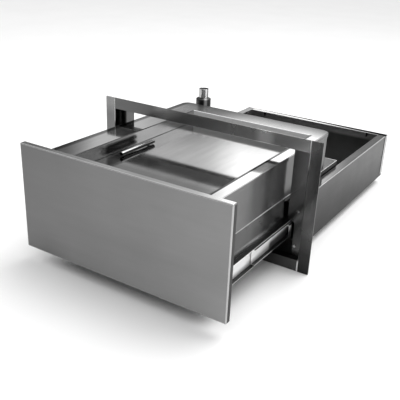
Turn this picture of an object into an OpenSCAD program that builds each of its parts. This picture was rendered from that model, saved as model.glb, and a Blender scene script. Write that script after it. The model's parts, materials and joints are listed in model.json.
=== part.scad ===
// Built-in drawer unit for an outdoor kitchen island: a flat trim frame, an open-topped housing
// behind it, and a double-walled drawer with a lid that runs on telescopic slides.
// Millimetres, +Z up, front faces -Y. The origin is the middle of the bottom rail's back face,
// the face that bears on the island's wall. The drawer stands partly open, as it is usually shown.

/* [Front panel] */
// Width of the front panel
panel_w = 635; // [560:5:760]
// Height of the front panel
panel_h = 298; // [270:1:380]
// Thickness of the front panel
panel_t = 16; // [12:1:20]
// Corner radius of the front panel
panel_corner = 3; // [2:0.5:8]
// Width of each stiffener inside the panel
stiffener_w = 40; // [25:1:70]
// Distance of each stiffener's middle from the panel's edge
stiffener_in = 167.5; // [90:0.5:220]

/* [Trim frame] */
// Width of the stiles and rails
trim_w = 34; // [26:1:50]
// Thickness of the stiles and rails
trim_t = 2; // [1.5:0.1:3]
// Outer corner radius of the trim frame
trim_corner = 3; // [1:0.5:6]
// Gap between a rail's end and its stile
trim_joint = 0.3; // [0.1:0.1:0.6]
// Gap between the panel and each stile
side_gap = 2.5; // [2:0.1:4]
// Gap under the front panel
bottom_gap = 4; // [3:0.1:6]
// Gap over the front panel
top_gap = 9; // [7:0.1:12]

/* [Jambs] */
// Depth of the recess from the trim frame's back to the jamb plates
jamb_depth = 23; // [19:0.5:35]
// Width of each jamb plate
jamb_w = 52.5; // [48:0.5:56]
// Height of the open slot under each jamb plate
jamb_foot = 20; // [12:1:26]

/* [Drawer box] */
// How far the drawer stands open
shown_open = 380; // [300:5:400]
// Height of the drawer box's bottom above the panel's bottom edge
pan_up = 37; // [34:1:50]
// Step from the panel's top down to the drawer's deck
deck_drop = 18; // [14:0.5:30]
// Height of the lower pan
lower_h = 126; // [110:1:134]
// Length of the upper shell
upper_len = 660; // [640:5:670]
// Length of the ledge behind the upper shell
ledge_len = 92; // [76:1:96]
// Corner radius at the back of the upper shell
shell_corner = 22; // [10:1:30]
// Corner radius at the back of the lower pan
pan_corner = 3; // [2:0.5:8]
// Height of the deck's turned-down outer lip
lip_h = 12; // [8:0.5:20]
// How deep the upper shell sits in the lower pan
shell_lap = 10; // [6:0.5:20]
// Width of the deck's flange at the lid's front and right side
flange_w = 36; // [28:0.5:42]
// Width of the deck's flange at the lid's left side
left_flange_w = 80; // [60:1:110]
// Width of the deck behind the lid
deck_back = 72; // [60:1:200]

/* [Lid and liner] */
// Depth of the lid's top below the deck
lid_recess = 38; // [30:0.5:44]
// Gap between the lid and the deck all round
lid_gap = 2; // [1.5:0.1:3]
// Height of the lid's turned-down rim
lid_rim = 8; // [6:0.5:12]
// Depth of the lid's plug under its rim
lid_plug = 13; // [8:0.5:20]
// Width of the liner's shelf inside the lid's opening
shelf_w = 15.5; // [13:0.5:20]
// Gap between the lid's plug and the liner
plug_gap = 3; // [2:0.5:5]
// Height of the liner's floor above the pan's bottom
floor_h = 24; // [15:1:40]
// Thickness of the insulation behind the liner
insulation_back = 40; // [25:1:60]
// Thickness of the lid's seal
seal_t = 3; // [2:0.5:5]
// Width of the lid's seal
seal_w = 10; // [6:0.5:12]

/* [Lid handle] */
// Diameter of the handle's bar
bar_d = 12.5; // [8:0.5:13]
// Wall of the handle's bar
bar_wall = 1.5; // [1:0.1:2.5]
// Length of the handle's bar
bar_len = 144; // [100:1:200]
// Height of the bar's axis above the lid
bar_lift = 8; // [7.5:0.5:11]
// Distance of the bar's axis from the left side of the lid's opening
bar_in = 32.5; // [26:0.5:120]
// Distance of the bar's front end from the lid's front edge
bar_front = 145; // [60:1:200]
// Distance of each post from the bar's end
post_in = 23; // [12:1:40]
// Diameter of each post
post_d = 7; // [6:0.5:8]

/* [Pipe] */
// Outer diameter of the pipe's upper end
pipe_d = 32; // [30:0.5:42]
// Outer diameter of the riser under it
riser_d = 30; // [24:0.5:30]
// Wall of both pipes
pipe_wall = 2.5; // [1.5:0.1:4]
// Distance of the pipe's axis from the drawer's left side
pipe_in = 40.5; // [36:0.5:80]
// Height of the pipe's top above the deck
pipe_over = 43; // [30:1:70]
// Height of the coupling's top above the deck
coupling_over = 13; // [0:1:18]
// Length of the coupling
coupling_len = 60; // [40:1:80]
// Outer diameter of the coupling
coupling_d = 50; // [48:0.5:60]
// Chamfer of the coupling's ends
coupling_chamfer = 4; // [2:0.5:4.5]
// Diameter of each lock nut on the ledge
nut_d = 48; // [42:1:60]
// Height of each lock nut
nut_h = 9; // [6:0.5:14]

/* [Slides] */
// Length of each slide
slide_len = 650; // [600:10:680]
// Height of each slide
slide_h = 53; // [50:1:56]
// Thickness of each slide
slide_t = 19; // [19:0.5:19.5]
// Distance of the slide's middle above the pan's bottom
slide_up = 29; // [28:0.5:40]
// Steel thickness of the slide's members
slide_gauge = 1.5; // [1.2:0.1:1.6]
// Diameter of the slide's balls
ball_d = 3; // [2.5:0.1:3.5]
// Number of balls in each row
ball_count = 8; // [4:1:12]
// Length of each ball cage
cage_len = 250; // [200:5:260]
// Thickness of each ball cage
cage_t = 0.8; // [0.6:0.1:1.2]

/* [Housing] */
// Space behind the closed drawer, to the housing's back
rear_space = 48; // [36:1:120]
// Step from the drawer's rear ledge down to the housing's top
ledge_over = 15; // [8:1:22]
// Width of each front flange of the housing
front_flange = 30; // [24:0.5:36]
// Height of the housing's bottom above the origin
housing_up = 10; // [6:0.5:12]
// Depth of each slide bracket between the slide and the wall
bracket_t = 10; // [8:0.5:12]
// Gap between the drawer and the housing's top flanges
flange_gap = 3; // [2:0.5:5]
// Depth of the rear wall's top flange
rear_flange = 27; // [18:1:40]
// Length of the rear wall's outer returns
rear_return = 24; // [15:1:40]
// Height of the notch under each outer return
return_notch = 10; // [6:1:30]
// Distance of each rear stop from the drawer's side
stop_in = 45.5; // [20:0.5:90]
// Height of each rear stop
stop_h = 20; // [12:1:30]

/* [Sheet and fasteners] */
// Thickness of the sheet steel
sheet = 1.5; // [1.2:0.1:1.8]
// Diameter of the small screws
screw_d = 4; // [3:0.5:5]
// Diameter of the installer's screw holes
fixing_d = 5; // [4:0.5:6]
// Distance between the installer's two holes on each side
fixing_pitch = 170; // [120:5:200]

/* [Hidden] */
// Clearances
touch = 0.01;
screw_clear = 0.15;
pipe_clear = 0.3;
bumper_clear = 0.3;
ball_clear = 0.1;
cut = 1;

// Screw heads
head_d = 2 * screw_d;
head_h = 2.5;
low_head_h = 1.4;
screw_len = 8;
screw_low = 34;
screw_high = 19;
bumper_end = 40;
stiffener_end = 10;
stop_w = 6;
stop_t = 5;

// Opening of the trim frame
opening_x = panel_w / 2 + side_gap;
opening_z0 = trim_w / 2;
panel_z0 = opening_z0 + bottom_gap;
panel_z1 = panel_z0 + panel_h;
opening_z1 = panel_z1 + top_gap;
trim_x = opening_x + trim_w;
trim_z0 = -trim_w / 2;
trim_z1 = opening_z1 + trim_w;
jamb_y1 = jamb_depth + sheet;
jamb_in = opening_x - jamb_w;

// Front panel, as the drawer stands
panel_y0 = -trim_t - shown_open;
panel_y1 = panel_y0 + panel_t;
stiffener_x = panel_w / 2 - stiffener_in;

// Drawer box
wall_out = opening_x - front_flange;
wall_in = wall_out - sheet;
box_x = wall_in - bracket_t - slide_t;
shell_x = box_x - sheet;
deck_z1 = panel_z1 - deck_drop;
deck_z0 = deck_z1 - sheet;
pan_z0 = panel_z0 + pan_up;
seam_z = pan_z0 + lower_h;
upper_y1 = panel_y1 + upper_len;
pan_y1 = upper_y1 + ledge_len;

// Lid, its opening and the liner under it
lid_right = box_x - flange_w;
lid_left = left_flange_w - box_x;
lid_y0 = panel_y1 + flange_w;
lid_y1 = upper_y1 - deck_back;
lid_z1 = deck_z1 - lid_recess;
lid_z0 = lid_z1 - sheet;
rim_z0 = lid_z1 - lid_rim;
shelf_z1 = rim_z0 - seal_t;
shelf_z0 = shelf_z1 - sheet;
liner_right = lid_right - shelf_w;
liner_left = lid_left + shelf_w;
liner_y0 = lid_y0 + shelf_w;
liner_y1 = lid_y1 - shelf_w;
liner_z0 = pan_z0 + floor_h;
plug_right = liner_right - plug_gap;
plug_left = liner_left + plug_gap;
plug_y0 = liner_y0 + plug_gap;
plug_y1 = liner_y1 - plug_gap;
plug_z0 = rim_z0 - lid_plug;

// Lid handle
bar_x = lid_left + bar_in;
bar_z = lid_z1 + bar_lift;
bar_y0 = lid_y0 + lid_gap + bar_front;
bar_y1 = bar_y0 + bar_len;
post_y = [bar_y0 + post_in, bar_y1 - post_in];

// Pipe on the ledge
pipe_x = box_x - pipe_in;
pipe_y = upper_y1 + ledge_len / 2;
pipe_top = deck_z1 + pipe_over;
coupling_z1 = deck_z1 + coupling_over;
coupling_z0 = coupling_z1 - coupling_len;
pipe_joint = (coupling_z0 + coupling_z1) / 2;
tip_z0 = coupling_z1 + 1;

// Slides, nested from the drawer's member in to the housing's member
slide_z = pan_z0 + slide_up;
slide_rest = shown_open / 2;
slide_y0 = panel_t + bumper_clear - trim_t + cut;
drawer_member_y0 = slide_y0 - shown_open;
mid_member_y0 = slide_y0 - slide_rest;
ball_space = ball_d + 2 * ball_clear;
web_gap = 2.1;
drawer_half = slide_h / 2;
mid_half = drawer_half - slide_gauge - ball_space;
wall_half = mid_half - slide_gauge - ball_space;
mid_web = slide_gauge + web_gap;
mid_lip = slide_t - 3.5;
drawer_lip = slide_t - 6;
wall_lip = mid_web + slide_gauge + 1.5;
cage_w = 7;
cage_s = slide_gauge + web_gap + slide_gauge + 0.5;
cage_front = 80;
outer_cage_y0 = mid_member_y0 + cage_front;
inner_cage_y0 = slide_y0 + cage_front;

// Housing
housing_z0 = housing_up;
housing_z1 = seam_z - ledge_over;
flange_in = box_x + flange_gap;
housing_y1 = pan_y1 + shown_open + rear_space;
stop_x = box_x - stop_in;
notch_x = wall_in + touch;
notch_z = slide_z + slide_h / 2 + 4;
housing_screw_x = wall_out + head_d / 2 + 2;
housing_screw_z = [housing_z0 + screw_low, housing_z1 - screw_high];

// Bumpers behind the panel
bumper_x = (notch_x + opening_x) / 2;
bumper_z = [panel_z0 + bumper_end, panel_z1 - bumper_end];
bumper_t = jamb_depth + trim_t - panel_t - bumper_clear;
bumper_d = 12;

// Installer's holes
fixing_y = jamb_depth / 2;
fixing_z = (opening_z0 + opening_z1) / 2;

// Fineness of round things
$fn = 48;

// Box between two opposite corners
module block(low, high) {
    translate(low) cube(high - low);
}

// The same piece on the other side
module other_side() {
    mirror([1, 0, 0]) children();
}

// Flat rectangle with round corners, seen from above
module round_rect(low, high, r) {
    translate(low + [r, 0]) square([high[0] - low[0] - 2 * r, high[1] - low[1]]);
    translate(low + [0, r]) square([high[0] - low[0], high[1] - low[1] - 2 * r]);
    for (x = [low[0] + r, high[0] - r], y = [low[1] + r, high[1] - r])
        translate([x, y]) circle(r);
}

// Flat outline with square front corners and round back corners
module box_outline(x, y0, y1, r) {
    translate([-x, y0]) square([2 * x, y1 - y0 - r]);
    translate([r - x, y0]) square([2 * (x - r), y1 - y0]);
    for (side = [-1, 1]) translate([side * (x - r), y1 - r]) circle(r);
}

// Upright slab of that outline
module box_slab(x, y0, y1, r, z0, z1) {
    translate([0, 0, z0]) linear_extrude(z1 - z0) box_outline(x, y0, y1, r);
}

// Slab that stands upright across the unit, with round corners
module front_slab(x, y0, y1, z0, z1, r) {
    translate([0, y1, 0]) rotate([90, 0, 0]) linear_extrude(y1 - y0)
        round_rect([-x, z0], [x, z1], r);
}

// Round rod along Y
module rod_y(d, x, y0, y1, z) {
    translate([x, y1, z]) rotate([90, 0, 0]) cylinder(d = d, h = y1 - y0);
}

// Round rod along X
module rod_x(d, x0, x1, y, z) {
    translate([x0, y, z]) rotate([0, 90, 0]) cylinder(d = d, h = x1 - x0);
}

// Round rod along Z
module rod_z(d, x, y, z0, z1) {
    translate([x, y, z0]) cylinder(d = d, h = z1 - z0);
}

// Trim frame: each stile and rail is folded back at the opening's edge into a return
module stile() {
    corners = [trim_z0 + trim_corner, trim_z1 - trim_corner];
    color("silver") {
        rotate([90, 0, 0]) linear_extrude(trim_t) {
            translate([opening_x, trim_z0]) square([trim_w - trim_corner, trim_z1 - trim_z0]);
            translate([opening_x, corners[0]]) square([trim_w, corners[1] - corners[0]]);
            for (z = corners) translate([trim_x - trim_corner, z]) circle(trim_corner);
        }
        difference() {
            block([opening_x, -trim_t, opening_z0 - sheet],
                [opening_x + sheet, jamb_y1, opening_z1 + sheet]);
            for (z = [fixing_z - fixing_pitch / 2, fixing_z + fixing_pitch / 2])
                rod_x(fixing_d, opening_x - cut, opening_x + sheet + cut, fixing_y, z);
        }
    }
}

module rail(z0, z1, return_z) {
    color("silver") {
        block([trim_joint - opening_x, -trim_t, z0], [opening_x - trim_joint, 0, z1]);
        block([-opening_x, 0, return_z], [opening_x, jamb_y1, return_z + sheet]);
    }
}

// Jamb: a plate across the recess, notched for the slide
module jamb() {
    color("dimgray") difference() {
        block([jamb_in, jamb_depth, opening_z0 + jamb_foot], [opening_x, jamb_y1, opening_z1]);
        block([jamb_in - cut, jamb_depth - cut, opening_z0], [notch_x, jamb_y1 + cut, notch_z]);
        for (z = housing_screw_z)
            rod_y(screw_d + 2 * screw_clear, housing_screw_x, jamb_depth - cut, jamb_y1 + cut, z);
    }
}

// Housing
module housing_side() {
    color("gray") difference() {
        union() {
            block([wall_in, jamb_y1, housing_z0], [wall_out, housing_y1 - sheet, housing_z1]);
            block([wall_out, jamb_y1, housing_z0], [opening_x, jamb_y1 + sheet, housing_z1]);
            block([flange_in, jamb_y1 + sheet, housing_z1 - sheet],
                [wall_in, housing_y1 - sheet, housing_z1]);
        }
        for (z = housing_screw_z)
            rod_y(screw_d + 2 * screw_clear, housing_screw_x, jamb_y1 - cut, jamb_y1 + sheet + cut, z);
    }
}

module housing_rear() {
    color("gray") {
        block([-wall_out, housing_y1 - sheet, housing_z0], [wall_out, housing_y1, housing_z1]);
        block([-flange_in, housing_y1 - rear_flange, housing_z1 - sheet],
            [flange_in, housing_y1 - sheet, housing_z1]);
        for (side = [0, 1]) mirror([side, 0, 0])
            block([wall_out, housing_y1 - rear_return, housing_z0 + return_notch],
                [wall_out + sheet, housing_y1, housing_z1]);
    }
}

module housing_floor() {
    color("dimgray") block([-wall_in, jamb_y1, housing_z0],
        [wall_in, housing_y1 - sheet, housing_z0 + sheet]);
}

module rear_stops() {
    color("black") for (side = [-1, 1])
        block([side * stop_x - stop_w / 2, housing_y1 - sheet - stop_t, housing_z1 - sheet - stop_h],
            [side * stop_x + stop_w / 2, housing_y1 - sheet, housing_z1 - sheet]);
}

module housing_screws() {
    color("silver") for (side = [-1, 1], z = housing_screw_z) {
        rod_y(head_d, side * housing_screw_x, jamb_depth - head_h, jamb_depth, z);
        rod_y(screw_d, side * housing_screw_x, jamb_depth, jamb_depth + screw_len, z);
    }
}

// Slides. Each member is a channel: half is half its outer height, s0 and s1 are its reach
// from the drawer's side, and its web is at the drawer's side when web_first is true.
module channel(half, s0, s1, y0, len, web_first) {
    difference() {
        block([box_x + s0, y0, slide_z - half], [box_x + s1, y0 + len, slide_z + half]);
        block([box_x + (web_first ? s0 + slide_gauge : s0 - cut), y0 - cut,
                slide_z - half + slide_gauge],
            [box_x + (web_first ? s1 + cut : s1 - slide_gauge), y0 + len + cut,
                slide_z + half - slide_gauge]);
    }
}

// Places of the screws along a slide, from its front end
slide_screw_y = [for (i = [0:3]) slide_len * (0.07 + 0.28 * i)];

module slide_drawer_member() {
    color("silver") difference() {
        channel(drawer_half, 0, drawer_lip, drawer_member_y0, slide_len, true);
        for (y = slide_screw_y)
            rod_x(screw_d + 2 * screw_clear, box_x - cut, box_x + slide_gauge + cut,
                drawer_member_y0 + y, slide_z);
    }
}

module slide_mid_member() {
    color("darkgray") channel(mid_half, mid_web, mid_lip, mid_member_y0, slide_len, true);
}

module slide_wall_member() {
    color("silver") difference() {
        channel(wall_half, wall_lip, slide_t, slide_y0, slide_len, false);
        for (y = slide_screw_y)
            rod_x(screw_d + 2 * screw_clear, box_x + slide_t - slide_gauge - cut,
                box_x + slide_t + cut, slide_y0 + y, slide_z);
    }
}

module slide_bracket() {
    color("gray") difference() {
        block([box_x + slide_t, jamb_y1 + sheet, slide_z - drawer_half],
            [wall_in, housing_y1 - sheet, slide_z + drawer_half]);
        block([box_x + slide_t + sheet, jamb_y1, slide_z - drawer_half + sheet],
            [wall_in + cut, housing_y1, slide_z + drawer_half - sheet]);
        for (y = slide_screw_y)
            rod_x(screw_d + 2 * screw_clear, box_x + slide_t - cut, box_x + slide_t + sheet + cut,
                slide_y0 + y, slide_z);
    }
}

module slide_wall_screws() {
    color("silver") for (side = [0, 1]) mirror([side, 0, 0]) for (y = slide_screw_y) {
        x = box_x + slide_t - slide_gauge;
        rod_x(head_d, x - low_head_h, x, slide_y0 + y, slide_z);
        rod_x(screw_d, x, x + screw_len - 1, slide_y0 + y, slide_z);
    }
}

module slide_drawer_screws() {
    color("silver") for (side = [0, 1]) mirror([side, 0, 0]) for (y = slide_screw_y) {
        x = box_x + slide_gauge;
        rod_x(head_d, x, x + low_head_h, drawer_member_y0 + y, slide_z);
        rod_x(screw_d, x - slide_gauge - sheet - 1, x, drawer_member_y0 + y, slide_z);
    }
}

// A cage is a flat strip over and under a member, with a hole for each ball
function ball_y(i) = cage_len * (i + 0.5) / ball_count;

module cage(half, y0) {
    color("dimgray") for (side = [-1, 1]) difference() {
        translate([box_x + cage_s, y0, slide_z + side * (half + ball_space / 2) - cage_t / 2])
            cube([cage_w, cage_len, cage_t]);
        for (i = [0:ball_count - 1])
            rod_z(ball_d + 2 * ball_clear, box_x + cage_s + cage_w / 2, y0 + ball_y(i),
                slide_z + side * (half + ball_space / 2) - cage_t,
                slide_z + side * (half + ball_space / 2) + cage_t);
    }
}

module balls(half, y0) {
    color("silver") for (side = [-1, 1], i = [0:ball_count - 1])
        translate([box_x + cage_s + cage_w / 2, y0 + ball_y(i),
            slide_z + side * (half + ball_space / 2)]) sphere(d = ball_d);
}

// Front panel: a folded skin, closed by a back sheet over two stiffeners
module panel_skin() {
    color("silver") difference() {
        front_slab(panel_w / 2, panel_y0, panel_y1, panel_z0, panel_z1, panel_corner);
        front_slab(panel_w / 2 - sheet, panel_y0 + sheet, panel_y1 + cut, panel_z0 + sheet,
            panel_z1 - sheet, panel_corner - sheet);
    }
}

// Places of the screws that hold the panel to the pan
panel_screw_x = [-0.8 * box_x, -0.26 * box_x, 0.26 * box_x, 0.8 * box_x];
panel_screw_z = (pan_z0 + seam_z) / 2;

module panel_back() {
    color("gray") difference() {
        front_slab(panel_w / 2 - sheet, panel_y1 - sheet, panel_y1, panel_z0 + sheet,
            panel_z1 - sheet, panel_corner - sheet);
        for (x = panel_screw_x)
            rod_y(screw_d + 2 * screw_clear, x, panel_y1 - sheet - cut, panel_y1 + cut, panel_screw_z);
    }
}

module panel_stiffeners() {
    color("gray") for (side = [-1, 1]) difference() {
        block([side * stiffener_x - stiffener_w / 2, panel_y0 + sheet, panel_z0 + stiffener_end],
            [side * stiffener_x + stiffener_w / 2, panel_y1 - sheet, panel_z1 - stiffener_end]);
        block([side * stiffener_x - stiffener_w / 2 + sheet, panel_y0 + 2 * sheet, panel_z0],
            [side * stiffener_x + stiffener_w / 2 - sheet, panel_y1 - 2 * sheet, panel_z1]);
    }
}

module panel_screws() {
    color("silver") for (x = panel_screw_x) {
        rod_y(head_d, x, panel_y1 + sheet, panel_y1 + sheet + head_h, panel_screw_z);
        rod_y(screw_d, x, panel_y1 - sheet - 2, panel_y1 + sheet, panel_screw_z);
    }
}

module panel_bumpers() {
    color("black") for (side = [-1, 1], z = bumper_z)
        rod_y(bumper_d, side * bumper_x, panel_y1, panel_y1 + bumper_t, z);
}

// Drawer box
module lower_pan() {
    color("silver") difference() {
        box_slab(box_x, panel_y1, pan_y1, pan_corner, pan_z0, seam_z);
        box_slab(box_x - sheet, panel_y1 + sheet, pan_y1 - sheet, pan_corner - sheet,
            pan_z0 + sheet, seam_z + cut);
        for (x = panel_screw_x)
            rod_y(screw_d + 2 * screw_clear, x, panel_y1 - cut, panel_y1 + sheet + cut, panel_screw_z);
        for (side = [-1, 1], y = slide_screw_y)
            rod_x(screw_d + 2 * screw_clear, side * box_x - sheet - cut, side * box_x + sheet + cut,
                drawer_member_y0 + y, slide_z);
    }
}

module upper_shell() {
    color("silver") difference() {
        box_slab(shell_x, panel_y1 + sheet, upper_y1, shell_corner, seam_z - shell_lap, deck_z0);
        box_slab(shell_x - sheet, panel_y1 + 2 * sheet, upper_y1 - sheet, shell_corner - sheet,
            seam_z - shell_lap - cut, deck_z0 + cut);
    }
}

module rear_ledge() {
    color("silver") difference() {
        box_slab(box_x - sheet, upper_y1 - shell_corner, pan_y1 - sheet, pan_corner - sheet,
            seam_z - sheet, seam_z);
        box_slab(shell_x, panel_y1, upper_y1, shell_corner, seam_z - sheet - cut, seam_z + cut);
        rod_z(riser_d + 2 * pipe_clear, -pipe_x, pipe_y, seam_z - sheet - cut, seam_z + cut);
    }
}

// Deck: a flange round the lid and a cover behind it, with an outer lip and an inner fold
module drawer_deck() {
    fold = sheet;
    color("silver") {
        difference() {
            box_slab(box_x, panel_y1, upper_y1 + sheet, shell_corner + sheet, deck_z1 - lip_h, deck_z1);
            box_slab(shell_x, panel_y1 - cut, upper_y1, shell_corner, deck_z1 - lip_h - cut, deck_z0);
            block([lid_left, lid_y0, deck_z0 - cut], [lid_right, lid_y1, deck_z1 + cut]);
        }
        difference() {
            block([lid_left - fold, lid_y0 - fold, shelf_z1],
                [lid_right + fold, lid_y1 + fold, deck_z0]);
            block([lid_left, lid_y0, shelf_z1 - cut], [lid_right, lid_y1, deck_z0 + cut]);
        }
    }
}

module liner() {
    color("lightgray") difference() {
        union() {
            block([lid_left - sheet, lid_y0 - sheet, shelf_z0],
                [lid_right + sheet, lid_y1 + sheet, shelf_z1]);
            block([liner_left - sheet, liner_y0 - sheet, liner_z0],
                [liner_right + sheet, liner_y1 + sheet, shelf_z0]);
        }
        block([liner_left, liner_y0, liner_z0 + sheet], [liner_right, liner_y1, shelf_z1 + cut]);
    }
}

module insulation() {
    front = panel_y1 + 2 * sheet + head_h;
    color("wheat") difference() {
        block([sheet + 1 - shell_x, front, pan_z0 + sheet],
            [shell_x - sheet - 1, liner_y1 + sheet + insulation_back, shelf_z0]);
        block([liner_left - sheet, liner_y0 - sheet, liner_z0],
            [liner_right + sheet, liner_y1 + sheet, shelf_z0 + cut]);
    }
}

module lid_seal() {
    low = [lid_left + 1, lid_y0 + 1];
    high = [lid_right - 1, lid_y1 - 1];
    color("black") difference() {
        block([low[0], low[1], shelf_z1], [high[0], high[1], rim_z0]);
        block([low[0] + seal_w, low[1] + seal_w, shelf_z1 - cut],
            [high[0] - seal_w, high[1] - seal_w, rim_z0 + cut]);
    }
}

// Pipe: a riser locked in the ledge, a rubber coupling and a bare upper end
module pipe_riser() {
    color("silver") difference() {
        rod_z(riser_d, -pipe_x, pipe_y, seam_z - sheet - 2 * nut_h, pipe_joint);
        rod_z(riser_d - 2 * pipe_wall, -pipe_x, pipe_y, seam_z - sheet - 2 * nut_h - cut,
            pipe_joint + cut);
    }
}

module pipe_tip() {
    color("silver") difference() {
        union() {
            rod_z(riser_d, -pipe_x, pipe_y, pipe_joint, tip_z0);
            rod_z(pipe_d, -pipe_x, pipe_y, tip_z0, pipe_top);
        }
        rod_z(riser_d - 2 * pipe_wall, -pipe_x, pipe_y, pipe_joint - cut, pipe_top + cut);
        rod_z(pipe_d - 2 * pipe_wall, -pipe_x, pipe_y, tip_z0 + pipe_wall, pipe_top + cut);
    }
}

module pipe_nuts() {
    color("gray") for (z = [seam_z, seam_z - sheet - nut_h]) difference() {
        rod_z(nut_d, -pipe_x, pipe_y, z, z + nut_h);
        rod_z(riser_d, -pipe_x, pipe_y, z - cut, z + nut_h + cut);
    }
}

module pipe_coupling() {
    r = coupling_d / 2;
    c = coupling_chamfer;
    color("black") translate([-pipe_x, pipe_y, coupling_z0]) rotate_extrude() polygon([
        [riser_d / 2, 0], [r - c, 0], [r, c], [r, coupling_len - c], [r - 2 * c, coupling_len],
        [riser_d / 2, coupling_len]]);
}

// Lid: a skin with a turned-down rim, and a foam-filled plug under it
module lid_skin() {
    x0 = lid_left + lid_gap;
    x1 = lid_right - lid_gap;
    y0 = lid_y0 + lid_gap;
    y1 = lid_y1 - lid_gap;
    color("silver") difference() {
        block([x0, y0, rim_z0], [x1, y1, lid_z1]);
        block([x0 + sheet, y0 + sheet, rim_z0 - cut], [x1 - sheet, y1 - sheet, lid_z0]);
        for (y = post_y) rod_z(screw_d + 2 * screw_clear, bar_x, y, lid_z0 - cut, lid_z1 + cut);
    }
}

module lid_pan() {
    color("gray") difference() {
        block([plug_left, plug_y0, plug_z0], [plug_right, plug_y1, lid_z0]);
        block([plug_left + sheet, plug_y0 + sheet, plug_z0 + sheet],
            [plug_right - sheet, plug_y1 - sheet, lid_z0 + cut]);
    }
}

module lid_foam() {
    color("wheat") difference() {
        block([plug_left + sheet, plug_y0 + sheet, plug_z0 + sheet],
            [plug_right - sheet, plug_y1 - sheet, lid_z0]);
        for (y = post_y) rod_z(head_d + 2 * screw_clear, bar_x, y, lid_z0 - head_h - 0.5, lid_z0 + cut);
    }
}

module handle_bar() {
    color("silver") difference() {
        rod_y(bar_d, bar_x, bar_y0, bar_y1, bar_z);
        rod_y(bar_d - 2 * bar_wall, bar_x, bar_y0 - cut, bar_y1 + cut, bar_z);
    }
}

module handle_posts() {
    color("silver") for (y = post_y) difference() {
        rod_z(post_d, bar_x, y, lid_z1, bar_z);
        rod_y(bar_d, bar_x, bar_y0, bar_y1, bar_z);
        rod_z(screw_d, bar_x, y, lid_z1 - cut, lid_z1 + bar_lift - bar_d / 2 - 0.5);
    }
}

module handle_screws() {
    color("silver") for (y = post_y) {
        rod_z(head_d, bar_x, y, lid_z0 - head_h, lid_z0);
        rod_z(screw_d, bar_x, y, lid_z0, lid_z1 + bar_lift - bar_d / 2 - 0.5);
    }
}

other_side() stile();  // trim_stile_left
stile();  // trim_stile_right
rail(opening_z1, trim_z1, opening_z1);  // trim_rail_top
rail(trim_z0, opening_z0, opening_z0 - sheet);  // trim_rail_bottom
other_side() jamb();  // jamb_left
jamb();  // jamb_right
other_side() housing_side();  // housing_side_left
housing_side();  // housing_side_right
housing_rear();
housing_floor();
other_side() slide_bracket();  // slide_bracket_left
slide_bracket();  // slide_bracket_right
other_side() slide_wall_member();  // slide_wall_member_left
slide_wall_member();  // slide_wall_member_right
slide_wall_screws();
housing_screws();
rear_stops();
other_side() slide_mid_member();  // slide_mid_member_left
slide_mid_member();  // slide_mid_member_right
other_side() cage(wall_half, inner_cage_y0);  // inner_cage_left
cage(wall_half, inner_cage_y0);  // inner_cage_right
other_side() balls(wall_half, inner_cage_y0);  // inner_balls_left
balls(wall_half, inner_cage_y0);  // inner_balls_right
other_side() cage(mid_half, outer_cage_y0);  // outer_cage_left
cage(mid_half, outer_cage_y0);  // outer_cage_right
other_side() balls(mid_half, outer_cage_y0);  // outer_balls_left
balls(mid_half, outer_cage_y0);  // outer_balls_right
other_side() slide_drawer_member();  // slide_drawer_member_left
slide_drawer_member();  // slide_drawer_member_right
slide_drawer_screws();
panel_skin();
panel_back();
panel_stiffeners();
panel_screws();
panel_bumpers();
lower_pan();
rear_ledge();
upper_shell();
drawer_deck();
liner();
insulation();
lid_seal();
pipe_riser();
pipe_nuts();
pipe_coupling();
pipe_tip();
lid_skin();
lid_pan();
lid_foam();
handle_bar();
handle_posts();
handle_screws();
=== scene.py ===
# Looks of the outdoor kitchen drawer unit: the CAD model's sheets get their folded edges here,
# every node gets its finish, and the unit stands in a plain pale studio. Metres, +Z up.
import json
from math import cos, pi, radians, sin
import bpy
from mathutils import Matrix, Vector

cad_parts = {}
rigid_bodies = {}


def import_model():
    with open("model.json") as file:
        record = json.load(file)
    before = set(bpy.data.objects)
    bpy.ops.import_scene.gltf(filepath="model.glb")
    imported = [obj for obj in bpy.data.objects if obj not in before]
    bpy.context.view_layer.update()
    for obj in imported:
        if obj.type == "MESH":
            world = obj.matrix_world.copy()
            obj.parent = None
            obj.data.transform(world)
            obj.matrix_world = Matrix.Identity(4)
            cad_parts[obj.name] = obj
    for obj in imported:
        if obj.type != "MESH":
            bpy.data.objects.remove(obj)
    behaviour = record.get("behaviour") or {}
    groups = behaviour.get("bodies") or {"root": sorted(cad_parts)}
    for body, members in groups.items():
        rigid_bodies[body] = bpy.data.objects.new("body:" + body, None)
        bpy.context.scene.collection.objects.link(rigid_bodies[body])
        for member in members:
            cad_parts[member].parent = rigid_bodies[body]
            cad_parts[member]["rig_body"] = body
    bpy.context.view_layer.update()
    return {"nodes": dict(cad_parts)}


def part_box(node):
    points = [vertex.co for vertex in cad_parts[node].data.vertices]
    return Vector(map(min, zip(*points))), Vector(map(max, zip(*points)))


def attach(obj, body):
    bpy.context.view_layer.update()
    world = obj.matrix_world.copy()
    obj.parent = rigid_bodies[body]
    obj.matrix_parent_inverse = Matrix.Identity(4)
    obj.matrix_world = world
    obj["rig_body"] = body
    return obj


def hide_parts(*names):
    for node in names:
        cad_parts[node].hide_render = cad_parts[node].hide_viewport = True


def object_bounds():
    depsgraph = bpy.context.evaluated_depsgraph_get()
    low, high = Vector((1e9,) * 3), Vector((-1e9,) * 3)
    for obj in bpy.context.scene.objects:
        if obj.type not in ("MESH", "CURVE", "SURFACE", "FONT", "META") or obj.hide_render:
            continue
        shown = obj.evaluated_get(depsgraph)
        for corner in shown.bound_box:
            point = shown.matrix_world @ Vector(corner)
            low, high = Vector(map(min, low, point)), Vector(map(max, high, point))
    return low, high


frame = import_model()

import bmesh
import bpy
from mathutils import Matrix, Vector

nodes = frame["nodes"]
MM = 0.001


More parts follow.
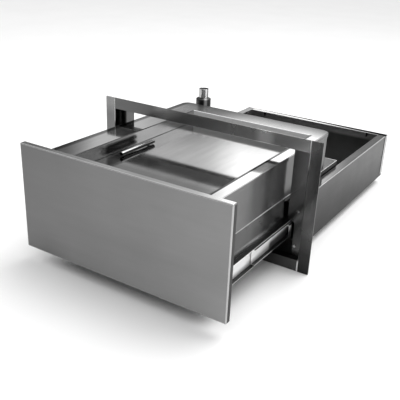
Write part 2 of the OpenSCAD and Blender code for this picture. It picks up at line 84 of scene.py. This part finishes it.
# ---------------------------------------------------------------- materials
NOISE_LOW, NOISE_HIGH = 0.3, 0.7  # a noise's factor lies mostly between these
BRUSH, STREAKS, FINE_STREAKS, CLOUDS = 900, 22, 60, 7  # steel's patterns, in cells to the metre
BRUSH_DEPTH = 0.00002

MATERIALS = {}


def finish_tree(name):
    """A finish's node tree and its shader."""
    tree = MATERIALS[name].node_tree
    return tree, tree.nodes["Principled BSDF"]


def new_material(name):
    MATERIALS[name] = bpy.data.materials.new(name)
    MATERIALS[name].use_nodes = True
    return finish_tree(name)


def link(tree, output, target):
    tree.links.new(output, target)


def place_in(tree):
    """Where a point of the unit lies, in metres. A finish's nodes share one such output."""
    for node in tree.nodes:
        if node.bl_idname == "ShaderNodeTexCoord":
            return node.outputs["Object"]
    return tree.nodes.new("ShaderNodeTexCoord").outputs["Object"]


def coordinates(tree):
    split = tree.nodes.new("ShaderNodeSeparateXYZ")
    link(tree, place_in(tree), split.inputs[0])
    return split.outputs


def noise(tree, scale, stretch=(1, 1, 1), detail=3.0, rough=0.5):
    """Noise with `scale` cells to the metre, drawn out along an axis whose `stretch` is small."""
    mapping = tree.nodes.new("ShaderNodeMapping")
    mapping.inputs["Scale"].default_value = stretch
    texture = tree.nodes.new("ShaderNodeTexNoise")
    texture.inputs["Scale"].default_value = scale
    texture.inputs["Detail"].default_value = detail
    texture.inputs["Roughness"].default_value = rough
    link(tree, place_in(tree), mapping.inputs["Vector"])
    link(tree, mapping.outputs["Vector"], texture.inputs["Vector"])
    return texture.outputs["Fac"]


def brushed(grain, stretch):
    """A noise's stretch for steel that was brushed along the axis `grain`."""
    return tuple(stretch if axis == grain else 1 for axis in "xyz")


def clouds(tree):
    return noise(tree, CLOUDS, detail=5, rough=0.6)


def ramp(tree, factor, stops):
    """A colour from `stops`, which are pairs of a place from 0 to 1 and a grey or a colour."""
    node = tree.nodes.new("ShaderNodeValToRGB")
    elements = node.color_ramp.elements
    while len(elements) < len(stops):
        elements.new(0.5)
    for element, (place, grey) in zip(elements, stops):
        element.position = place
        element.color = (*grey, 1) if isinstance(grey, tuple) else (grey, grey, grey, 1)
    link(tree, factor, node.inputs["Fac"])
    return node.outputs["Color"]


def spread(tree, factor, low, high, start=NOISE_LOW, end=NOISE_HIGH):
    """A value that runs from `low` to `high` while `factor` runs from `start` to `end`."""
    node = tree.nodes.new("ShaderNodeMapRange")
    node.inputs["From Min"].default_value = start
    node.inputs["From Max"].default_value = end
    node.inputs["To Min"].default_value = low
    node.inputs["To Max"].default_value = high
    link(tree, factor, node.inputs["Value"])
    return node.outputs["Result"]


def bump(tree, height, strength, distance, shader):
    node = tree.nodes.new("ShaderNodeBump")
    node.inputs["Strength"].default_value = strength
    node.inputs["Distance"].default_value = distance
    link(tree, height, node.inputs["Height"])
    link(tree, node.outputs["Normal"], shader.inputs["Normal"])


def scaled(tree, colour, factor):
    node = tree.nodes.new("ShaderNodeVectorMath")
    node.operation = "SCALE"
    link(tree, colour, node.inputs[0])
    link(tree, factor, node.inputs["Scale"])
    return node.outputs[0]


def math_node(tree, operation, first, second, third=None):
    node = tree.nodes.new("ShaderNodeMath")
    node.operation = operation
    for socket, value in zip(node.inputs, (first, second, third)):
        if value is None:
            continue
        if isinstance(value, (int, float)):
            socket.default_value = value
        else:
            link(tree, value, socket)
    return node.outputs[0]


def steel(name, tone, rough, grain, swing=0.06, smears=0.05):
    """Brushed steel: fine grain along one axis in the bump, and slow streaks in tone and gloss.
    A tone or roughness of None comes later, from tone_by_place or gloss_by_place."""
    tree, shader = new_material(name)
    if tone is not None:
        streak = noise(tree, STREAKS, brushed(grain, 0.08), 4)
        tones = [(NOISE_LOW, tone * (1 - swing)), (NOISE_HIGH, tone * (1 + swing))]
        link(tree, ramp(tree, streak, tones), shader.inputs["Base Color"])
    if rough is not None:
        link(tree, spread(tree, clouds(tree), rough - smears, rough + smears),
             shader.inputs["Roughness"])
    bump(tree, noise(tree, BRUSH, brushed(grain, 0.02), 2), 0.3, BRUSH_DEPTH, shader)
    shader.inputs["Metallic"].default_value = 1.0


def plain(name, tones, rough, scale, strength, distance, metallic=0.0):
    """Cast, moulded or turned surface with a fine even texture between two tones. Tones of None
    come later, from tone_by_place."""
    tree, shader = new_material(name)
    texture = noise(tree, scale, detail=5)
    if tones is not None:
        link(tree, ramp(tree, texture, list(zip((NOISE_LOW, NOISE_HIGH), tones))),
             shader.inputs["Base Color"])
    link(tree, spread(tree, noise(tree, scale / 9), rough - 0.06, rough + 0.06),
         shader.inputs["Roughness"])
    bump(tree, texture, strength, distance, shader)
    shader.inputs["Metallic"].default_value = metallic


def tone_by_place(name, parts, low, high, stops, swing=0.05, grain="y"):
    """Gives a finish a tone that changes along a line of places: `parts` are the weights of X, Y
    and Z in metres, `low` and `high` the sums that `stops` run between."""
    tree, shader = finish_tree(name)
    total = tree.nodes.new("ShaderNodeVectorMath")
    total.operation = "DOT_PRODUCT"
    total.inputs[1].default_value = parts
    link(tree, place_in(tree), total.inputs[0])
    tone = ramp(tree, spread(tree, total.outputs["Value"], 0.0, 1.0, low, high), stops)
    streak = noise(tree, FINE_STREAKS, brushed(grain, 0.1))
    link(tree, scaled(tree, tone, spread(tree, streak, 1 - swing, 1 + swing)),
         shader.inputs["Base Color"])


def gloss_by_place(name, axis, start, end, low, high, smears=0.03):
    """Gives a finish a roughness that runs from `low` at `start` to `high` at `end` on an axis."""
    tree, shader = finish_tree(name)
    slope = spread(tree, coordinates(tree)["XYZ".index(axis)], low, high, start, end)
    smear = spread(tree, clouds(tree), -smears, smears)
    link(tree, math_node(tree, "ADD", slope, smear), shader.inputs["Roughness"])


def patch(name, low, high, factor, soft=0.0005):
    """Multiplies a finish's tone by `factor` between two corners in metres; None is no limit.
    The change fades out over `soft` metres round them."""
    tree, shader = finish_tree(name)
    place = coordinates(tree)
    inside = None
    for axis in range(3):
        if low[axis] is None:
            continue
        for start, end in ((low[axis] - soft, low[axis]), (high[axis] + soft, high[axis])):
            test = spread(tree, place[axis], 0.0, 1.0, start, end)
            inside = test if inside is None else math_node(tree, "MULTIPLY", inside, test)
    tone = shader.inputs["Base Color"].links[0].from_socket
    link(tree, scaled(tree, tone, spread(tree, inside, 1.0, factor, 0.0, 1.0)),
         shader.inputs["Base Color"])


# sheets of the frame, the housing and the drawer: tone, roughness, the axis they are brushed along
steel("panel_steel", None, 0.34, "x")
# painted highlight on the front panel's top face
steel("panel_top", None, 0.24, "x")
# painted highlight on the front panel's folded front edge
steel("rim_steel", 0.45, 0.24, "y", 0.05)
steel("trim_steel", None, 0.24, "x")
steel("stile_steel", None, 0.26, "z")
steel("jamb_steel", None, 0.22, "z")
# painted shade: dark steel for the returns, the panel's sides, the bottom rail and the recess's rim
steel("return_steel", 0.08, 0.3, "y", 0.10)
steel("housing_steel", None, 0.30, "y")
steel("flange_steel", 0.30, 0.18, "y", 0.08)
steel("dark_inside", 0.20, 0.35, "y", 0.1)
# painted highlight on the folds of the housing's rims and the edges of the deck's skirt
steel("edge_steel", 0.80, 0.24, "y", 0.05)
steel("sheet_steel", None, 0.22, "y")
steel("pan_steel", None, 0.24, "y")
steel("deck_steel", None, None, "x")
steel("fold_steel", 0.60, 0.20, "y")
steel("lid_steel", None, 0.10, "y", smears=0.03)
# the handle, slides and pipe
steel("handle_steel", 0.55, 0.2, "y", 0.05)
steel("bar_shade", 0.05, 0.25, "y", 0.1)
steel("slide_steel", None, 0.3, "y")
# painted shade on the slides' top faces
steel("greased_steel", 0.05, 0.35, "y", 0.1)
steel("cage_steel", 0.4, 0.35, "y", 0.05)
steel("pipe_steel", None, 0.2, "z")
# the rest: two tones, roughness, texture's cells to the metre, its strength and depth, metallic
plain("ball_steel", (0.7, 0.74), 0.1, 500, 0.02, 0.00001, 1.0)
plain("screw_steel", (0.5, 0.56), 0.28, 900, 0.1, 0.00002, 1.0)
plain("nut_metal", (0.4, 0.46), 0.35, 700, 0.2, 0.00003, 1.0)
plain("black_rubber", (0.006, 0.012), 0.35, 400, 0.2, 0.0001)
plain("coupling_black", None, 0.4, 400, 0.2, 0.0001)
plain("foam", ((0.55, 0.5, 0.4), (0.66, 0.6, 0.48)), 0.85, 300, 0.5, 0.0004)
# painted highlights: the seam along the pan's top and the rear wall of the deck's recess
plain("weld_bright", (0.85, 0.9), 0.4, 900, 0.2, 0.00002, 0.4)
# painted highlights at the ends of the folds at the frame's opening
plain("weld_steel", None, 0.4, 900, 0.2, 0.00002, 0.6)

# Where a sheet is lighter and darker in the photograph. Places are in the unit's frame.
# front panel: a painted reflection, lighter to the right and at its foot, and a painted highlight
# on its top, brightest at the ends
PANEL_HALF = 0.3175
tone_by_place("panel_steel", (1, 0, 0), -PANEL_HALF, PANEL_HALF,
              [(0.0, 0.155), (0.5, 0.20), (1.0, 0.24)], 0.02, "x")
patch("panel_steel", (-0.150, None, -0.020), (0.400, None, 0.040), 1.3, 0.090)
tone_by_place("panel_top", (1, 0, 0), -PANEL_HALF, PANEL_HALF,
              [(0.0, 0.80), (0.35, 0.62), (0.6, 0.42), (0.85, 0.50), (1.0, 0.90)], 0.05, "x")
# trim frame: the top rail has a painted reflection, lighter to the right, with a soft painted
# highlight; the stiles have painted shade at their feet and are painted lighter near the top, and
# the folds at the opening have painted highlights at the corners only
tone_by_place("trim_steel", (1, 0, 0), -0.32, 0.32,
              [(0.0, 0.13), (0.22, 0.10), (0.30, 0.28), (0.5, 0.30), (0.72, 0.45), (1.0, 0.55)],
              0.05, "x")
patch("trim_steel", (0.178, None, None), (0.202, None, None), 2.0, 0.02)
tone_by_place("stile_steel", (0, 0, 1), -0.017, 0.362,
              [(0.0, 0.03), (0.16, 0.045), (0.27, 0.10), (0.34, 0.17), (0.86, 0.17), (0.95, 0.26)],
              0.05, "z")
tone_by_place("weld_steel", (0, 0, 1), 0.01, 0.30,
              [(0.0, 0.9), (0.04, 0.1), (0.93, 0.1), (0.98, 0.9)])
# the left jamb's corner has a painted highlight, and the plate beside it painted shade
tone_by_place("jamb_steel", (1, 0, 0), -0.3205, -0.2675,
              [(0.0, 0.6), (0.07, 0.6), (0.10, 0.02), (0.42, 0.02), (0.50, 0.14), (1.0, 0.14)])
# the housing's outside has painted shade, darker low down and to the front,
# and the inside of its rear wall has a painted highlight near the top
tone_by_place("housing_steel", (0, 0.18, 1), 0.02, 0.26, [(0.0, 0.04), (0.5, 0.09), (1.0, 0.18)])
patch("dark_inside", (None, 0.800, 0.142), (None, 0.900, 0.200), 4.0, 0.010)
# painted shade low in the slides' channels, most of it behind the frame
tone_by_place("slide_steel", (0, -0.107, 1), 0.084, 0.100, [(0.0, 0.40), (1.0, 0.95)])
patch("slide_steel", (None, -0.07, 0.05), (None, 0.90, 0.082), 0.15, 0.012)
# painted reflection: the drawer's sides are lightest a little in front of the frame, and the pan
# along its top too
tone_by_place("sheet_steel", (0, 1, 0), -0.364, 0.060,
              [(0.3, 0.145), (0.45, 0.165), (0.56, 0.36), (0.66, 0.42), (0.75, 0.20), (0.84, 0.07)])
tone_by_place("pan_steel", (0, 1, 0), -0.28, 0.02,
              [(0.0, 0.065), (0.27, 0.13), (0.5, 0.32), (0.8, 0.16), (1.0, 0.10)])
patch("pan_steel", (None, None, 0.118), (None, None, 0.126), 3.0, 0.008)
# the deck: darker along its left margin, glossy to the front, painted shade along the fold at the
# lid's right side, and painted shade towards its back; the recess's left wall has a painted dark
# reflection of the handle
tone_by_place("deck_steel", (1, 0, 0), -0.2595, -0.2300, [(0.0, 0.14), (0.5, 0.14), (0.8, 0.66)])
gloss_by_place("deck_steel", "Y", 0.12, 0.26, 0.09, 0.27)
patch("deck_steel", (0.2230, -0.331, None), (0.2310, 0.223, None), 0.03)
patch("deck_steel", (-0.13, 0.190, None), (-0.09, 0.400, None), 0.4, 0.12)
patch("deck_steel", (None, 0.290, None), (None, 0.400, None), 0.2, 0.085)
patch("fold_steel", (-0.19, -0.200, 0.272), (-0.17, -0.090, 0.290), 0.3, 0.012)
# the lid has a painted reflection, darker to the front, and painted shade at its back
tone_by_place("lid_steel", (0, 1, 0), -0.33, -0.14,
              [(0.0, 0.16), (0.5, 0.20), (0.65, 0.36), (0.8, 0.42), (1.0, 0.56)])
patch("lid_steel", (None, 0.135, None), (None, 0.300, None), 0.4, 0.015)
# the pipe has a painted highlight, a bright stripe right of its middle, and the coupling a narrower
# one
ACROSS = (0.85, 0.53, 0)
pipe_line = sum(part * (low + high) / 2 for part, low, high in zip(ACROSS, *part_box("pipe_tip")))
tone_by_place("pipe_steel", ACROSS, pipe_line - 0.016, pipe_line + 0.016,
              [(0.0, 0.35), (0.3, 0.6), (0.5, 1.0), (0.75, 1.0), (0.88, 0.25)])
tone_by_place("coupling_black", ACROSS, pipe_line - 0.025, pipe_line + 0.025,
              [(0.50, 0.006), (0.60, 0.35), (0.70, 0.35), (0.78, 0.006)])

# dull steel that stays dull when it is seen along its face
for name in ("housing_steel", "return_steel"):
    finish_tree(name)[1].inputs["Specular Tint"].default_value = (0.6, 0.6, 0.6, 1)
# the slides are plated, which mirrors less and looks paler
finish_tree("slide_steel")[1].inputs["Metallic"].default_value = 0.3

NODE_SLOT = {name: node.data.materials[0].name.split(".")[0] for name, node in nodes.items()}
# nodes whose finish isn't the one that their slot is named for
OWN_FINISH = {
    "trim_rail_bottom": "return_steel",
    "trim_stile_left": "stile_steel",
    "trim_stile_right": "stile_steel",
    "housing_floor": "dark_inside",
    "lower_pan": "pan_steel",
    "pipe_coupling": "coupling_black",
}


def finish_of(name):
    return MATERIALS[OWN_FINISH.get(name, NODE_SLOT[name])]


for name, node in nodes.items():
    node.data.materials.clear()
    node.data.materials.append(finish_of(name))


# ---------------------------------------------------------------- folded edges
SAME_PLACE = 2e-5  # coordinates that differ by no more than this, in metres, are one
FACING = 0.985  # the least part of a face's normal along the axis that it faces
ONE_POINT = 1e-6  # corners closer than this are joined
ONE_PLANE = radians(0.5)  # faces that turn less than this are joined
SHARP = radians(30)  # an edge that turns more than this is a fold or a cut edge
CREASE = radians(50)  # an edge that turns more than this is shaded sharp


def along(axis, place, also=None):
    """Chooses the edges that lie in one plane across `axis`. `also` is a second axis and a
    distance from its zero, on either side, and leaves those that lie at that distance too."""
    def pick(edge):
        for v in edge.verts:
            if abs(v.co["xyz".index(axis)] - place) > SAME_PLACE:
                return False
            if also and abs(abs(v.co["xyz".index(also[0])]) - abs(also[1])) > SAME_PLACE:
                return False
        return True
    return pick


def side_of(normal):
    for axis, names in enumerate((("left", "right"), ("front", "back"), ("under", "top"))):
        if abs(normal[axis]) > FACING:
            return names[normal[axis] > 0]
    return "edge"


def straighten(work):
    bmesh.ops.remove_doubles(work, verts=work.verts, dist=ONE_POINT)
    bmesh.ops.dissolve_limit(work, angle_limit=ONE_PLANE, verts=work.verts, edges=work.edges)


def round_edges(work, pick, radius, segments):
    chosen = [e for e in work.edges if len(e.link_faces) == 2
              and e.calc_face_angle() > SHARP and pick(e)]
    if not chosen:
        raise ValueError("no edge was chosen")
    bmesh.ops.bevel(work, geom=chosen, offset=radius * MM, offset_type="OFFSET",
                    segments=segments, profile=0.5, affect="EDGES", clamp_overlap=True)


def dress(name, small=0.4, folds=(), paint=None):
    """Puts in a CAD node's place a copy whose folds are round and whose cut edges are eased, by
    `small` millimetres. `folds` are pairs of a choice of edges and a radius in millimetres.
    `paint` names a face's finish from its centre and the side it faces, or gives None for the
    node's own finish."""
    source = nodes[name]
    work = bmesh.new()
    corners = [work.verts.new(v.co) for v in source.data.vertices]
    for polygon in source.data.polygons:
        work.faces.new([corners[i] for i in polygon.vertices])
    straighten(work)
    for pick, radius in folds:
        round_edges(work, pick, radius, 4)
    round_edges(work, lambda edge: True, small, 2)
    finishes = [None]
    for face in work.faces:
        face.smooth = True
        finish = paint(face.calc_center_median(), side_of(face.normal)) if paint else None
        if finish not in finishes:
            finishes.append(finish)
        face.material_index = finishes.index(finish)
    mesh = bpy.data.meshes.new(name + "_dressed")
    work.to_mesh(mesh)
    work.free()
    mesh.materials.append(finish_of(name))
    for finish in finishes[1:]:
        mesh.materials.append(MATERIALS[finish])
    mesh.set_sharp_from_angle(angle=CREASE)
    piece = bpy.data.objects.new(name + "_dressed", mesh)
    bpy.context.scene.collection.objects.link(piece)
    shade = piece.modifiers.new("even_normals", "WEIGHTED_NORMAL")
    shade.keep_sharp = True
    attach(piece, source["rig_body"])
    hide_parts(name)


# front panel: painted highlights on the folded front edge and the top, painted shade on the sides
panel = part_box("panel_skin")
PANEL_RIM = 0.004


def panel_paint(centre, side):
    if side == "top":
        return "panel_top"
    if side == "edge" and centre.y < panel[0].y + PANEL_RIM:
        return "rim_steel"
    return "return_steel" if side in ("left", "right") else None


dress("panel_skin", folds=[(along("y", panel[0].y), 3.4)], paint=panel_paint)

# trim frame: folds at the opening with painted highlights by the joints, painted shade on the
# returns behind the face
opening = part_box("jamb_right")[1].x
FOLD_REACH = 0.0035
RETURNS_START = 0.001


def trim_paint(centre, side):
    if centre.y > RETURNS_START:
        return "return_steel"
    at_opening = abs(abs(centre.x) - opening) < FOLD_REACH
    return "weld_steel" if at_opening and side == "edge" else None


for name, side in (("trim_stile_left", -1), ("trim_stile_right", 1)):
    dress(name, 0.5, [(along("x", side * opening, ("y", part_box(name)[0].y)), 1.9)], trim_paint)
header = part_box("trim_rail_top")
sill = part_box("trim_rail_bottom")
dress("trim_rail_top", 0.5,
      [(along("y", header[0].y, ("z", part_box("jamb_right")[1].z)), 1.4)], trim_paint)
dress("trim_rail_bottom", 0.5, [(along("y", sill[0].y, ("z", sill[1].z)), 1.4)], trim_paint)
for name in ("jamb_left", "jamb_right"):
    dress(name, 0.5)

# housing: painted highlights on the folds, rims and the rear wall's returns painted paler than the
# sides, a dark inside
housing_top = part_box("housing_rear")[1].z
housing_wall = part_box("housing_floor")[1].x
HOUSING_RIM = 0.004
SHEET = 0.0015


def housing_paint(centre, side):
    if centre.z > housing_top - HOUSING_RIM and side in ("edge", "top"):
        return "edge_steel" if side == "edge" else "flange_steel"
    outward = side == ("right" if centre.x > 0 else "left") or side in ("back", "edge")
    return None if outward else "dark_inside"


def rear_paint(centre, side):
    own = housing_paint(centre, side)
    if own == "flange_steel":
        return "edge_steel"
    return "flange_steel" if own is None and side in ("left", "right", "edge") else own


for name, side in (("housing_side_left", -1), ("housing_side_right", 1)):
    dress(name, folds=[(along("x", side * (housing_wall + SHEET), ("z", housing_top)), 2.4)],
          paint=housing_paint)
dress("housing_rear", folds=[(along("y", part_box("housing_rear")[1].y, ("z", housing_top)), 2.4)],
      paint=rear_paint)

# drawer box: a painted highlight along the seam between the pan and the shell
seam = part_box("lower_pan")[1].z


def pan_paint(centre, side):
    return "weld_bright" if side == "top" or side == "edge" and centre.z > seam - 0.002 else None


dress("lower_pan", folds=[(along("z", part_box("lower_pan")[0].z), 2.0),
                          (along("z", seam, ("x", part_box("lower_pan")[1].x)), 1.3)],
      paint=pan_paint)
dress("upper_shell")
dress("rear_ledge", paint=lambda centre, side: "deck_steel" if side == "top" else None)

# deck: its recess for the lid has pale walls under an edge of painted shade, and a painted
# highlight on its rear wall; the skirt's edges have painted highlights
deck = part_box("drawer_deck")
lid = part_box("lid_skin")
RECESS_MARGIN = 0.01
DECK_RIM = 0.003


def deck_paint(centre, side):
    if side == "top":
        return None
    in_recess = all(lid[0][axis] - RECESS_MARGIN < centre[axis] < lid[1][axis] + RECESS_MARGIN
                    for axis in (0, 1))
    on_rim = side == "edge" and centre.z > deck[1].z - DECK_RIM
    if in_recess and centre.y > lid[1].y and side in ("front", "edge"):
        return "weld_bright"
    if in_recess:
        return "return_steel" if on_rim else "fold_steel"
    if side == "edge":
        return None if on_rim else "edge_steel"
    return "sheet_steel"


dress("drawer_deck", folds=[(along("z", deck[1].z), 1.8)], paint=deck_paint)
dress("lid_skin", folds=[(along("z", lid[1].z), 1.6)])
for name in ("liner", "lid_pan", "slide_bracket_left", "slide_bracket_right"):
    dress(name)

# slides: painted shade on top
for name in ("slide_drawer_member", "slide_mid_member", "slide_wall_member"):
    for side in ("_left", "_right"):
        dress(name + side, paint=lambda centre, side: "greased_steel" if side == "top" else None)

# handle: a painted highlight along its top, the rest painted shade
bar_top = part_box("handle_bar")[1].z
bar_middle = (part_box("handle_bar")[0].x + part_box("handle_bar")[1].x) / 2
HIGHLIGHT_DEPTH = 0.0028
HIGHLIGHT_PAST_MIDDLE = 0.0004


def bar_paint(centre, side):
    in_highlight = centre.z > bar_top - HIGHLIGHT_DEPTH and centre.x > bar_middle - HIGHLIGHT_PAST_MIDDLE
    return None if in_highlight else "bar_shade"


dress("handle_bar", paint=bar_paint)
dress("handle_posts", 0.25, paint=bar_paint)

# pipe and small parts
dress("pipe_tip", 0.6)
dress("pipe_riser", 0.5)
dress("pipe_coupling", 1.2)
dress("pipe_nuts", 0.6)
dress("rear_stops", 0.6)
dress("panel_bumpers", 0.8)


# ---------------------------------------------------------------- studio
FLOOR_REACH = 14.0


def floor():
    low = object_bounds()[0].z
    mesh = bpy.data.meshes.new("studio_floor")
    r = FLOOR_REACH
    mesh.from_pydata([(-r, -r, low), (r, -r, low), (r, r, low), (-r, r, low)], [], [(0, 1, 2, 3)])
    tree, shader = new_material("studio_floor")
    link(tree, ramp(tree, noise(tree, 3), [(NOISE_LOW, 0.90), (NOISE_HIGH, 0.92)]),
         shader.inputs["Base Color"])
    shader.inputs["Roughness"].default_value = 0.9
    shader.inputs["Specular IOR Level"].default_value = 0.1
    mesh.materials.append(MATERIALS["studio_floor"])
    ground = bpy.data.objects.new("studio_floor", mesh)
    bpy.context.scene.collection.objects.link(ground)


floor()


def bearings(*stops):
    """Stops of a ramp round the room, from degrees to the left of straight behind the unit."""
    return [(0.5 + degrees / 360, grey) for degrees, grey in stops]


def rise(degrees):
    """The height on a sphere of one metre that lies so many degrees above the horizon."""
    return sin(radians(degrees))


def room():
    """A grey room under a pale ceiling. A bright window stands behind the unit, a little to the
    left, with a dark bar low across it, and a fainter one behind it to the right. The wall is dark
    beyond the window's left side, and dim low down behind the unit's left."""
    world = bpy.data.worlds.new("studio")
    bpy.context.scene.world = world
    world.use_nodes = True
    tree = world.node_tree
    background = tree.nodes["Background"]
    direction = tree.nodes.new("ShaderNodeTexCoord").outputs["Generated"]
    split = tree.nodes.new("ShaderNodeSeparateXYZ")
    link(tree, direction, split.inputs[0])
    x, y, z = split.outputs
    turn = math_node(tree, "ARCTAN2", math_node(tree, "MULTIPLY", x, -1.0), y)
    turn = math_node(tree, "MULTIPLY_ADD", turn, 1 / (2 * pi), 0.5)
    wall = ramp(tree, turn, bearings(
        (-160, 0.2), (-125, 0.35), (-95, 0.6), (-70, 0.5), (-47, 0.3), (-37, 1.1), (-15, 0.5),
        (18.5, 0.4), (20.5, 1.9), (28.5, 1.9), (30, 1.2), (31.5, 0.76), (43, 0.62), (44, 0.14),
        (60, 0.12), (120, 0.35), (150, 0.3)))
    height = spread(tree, z, 0.0, 1.0, rise(11.5), rise(16.5))
    elsewhere = ramp(tree, turn, bearings((-10, 1.0), (10, 0.0), (60, 0.0), (85, 1.0)))
    shade = math_node(tree, "MULTIPLY_ADD", math_node(tree, "MAXIMUM", height, elsewhere), 0.8, 0.2)
    bar = ramp(tree, z, [(rise(15.2), 1.0), (rise(16.3), 0.3), (rise(17.6), 0.3), (rise(19), 1.0)])
    window = ramp(tree, turn, bearings((21.5, 0.0), (23.5, 1.0), (34, 1.0), (38, 0.0)))
    lost = math_node(tree, "MULTIPLY", math_node(tree, "SUBTRACT", 1.0, bar), window)
    shade = math_node(tree, "MULTIPLY", shade, math_node(tree, "SUBTRACT", 1.0, lost))
    mixed = tree.nodes.new("ShaderNodeMix")
    mixed.data_type = "FLOAT"
    link(tree, spread(tree, z, 0.0, 1.0, rise(27), rise(48)), mixed.inputs["Factor"])
    link(tree, math_node(tree, "MULTIPLY", wall, shade), mixed.inputs["A"])
    mixed.inputs["B"].default_value = 1.2
    link(tree, mixed.outputs["Result"], background.inputs["Color"])
    background.inputs["Strength"].default_value = 1.0


def key_light():
    lamp = bpy.data.lights.new("key", "AREA")
    lamp.shape = "RECTANGLE"
    lamp.size, lamp.size_y = 3.0, 3.0
    lamp.energy = 110
    key = bpy.data.objects.new("key", lamp)
    key.location = (1.0, 1.2, 3.6)
    aim = Vector((0, 0, 0.15)) - key.location
    key.rotation_euler = aim.to_track_quat("-Z", "Y").to_euler()
    bpy.context.scene.collection.objects.link(key)


room()
key_light()


# ---------------------------------------------------------------- camera
# from the perspective fit to the photograph's straight edges; the lens is for a 36 mm sensor
YAW, PITCH, ROLL = -0.557519589, 0.4148840181, 0.0425437163
LENS = 55.778862
CAMERA_PLACE = (0.8762325, -1.4115064, 0.8424092)


def camera():
    ahead = Vector((sin(YAW) * cos(PITCH), cos(YAW) * cos(PITCH), -sin(PITCH)))
    right = ahead.cross(Vector((0, 0, 1))).normalized()
    up = right.cross(ahead)
    across = cos(ROLL) * right + sin(ROLL) * up
    upward = -sin(ROLL) * right + cos(ROLL) * up
    data = bpy.data.cameras.new("camera")
    data.sensor_fit = "HORIZONTAL"
    data.sensor_width = 36.0
    data.lens = LENS
    data.clip_start, data.clip_end = 0.05, 60.0
    view = bpy.data.objects.new("camera", data)
    view.matrix_world = Matrix((*zip(across, upward, -ahead, CAMERA_PLACE), (0, 0, 0, 1)))
    bpy.context.scene.collection.objects.link(view)
    bpy.context.scene.camera = view


camera()
bpy.context.scene.view_settings.view_transform = "Standard"
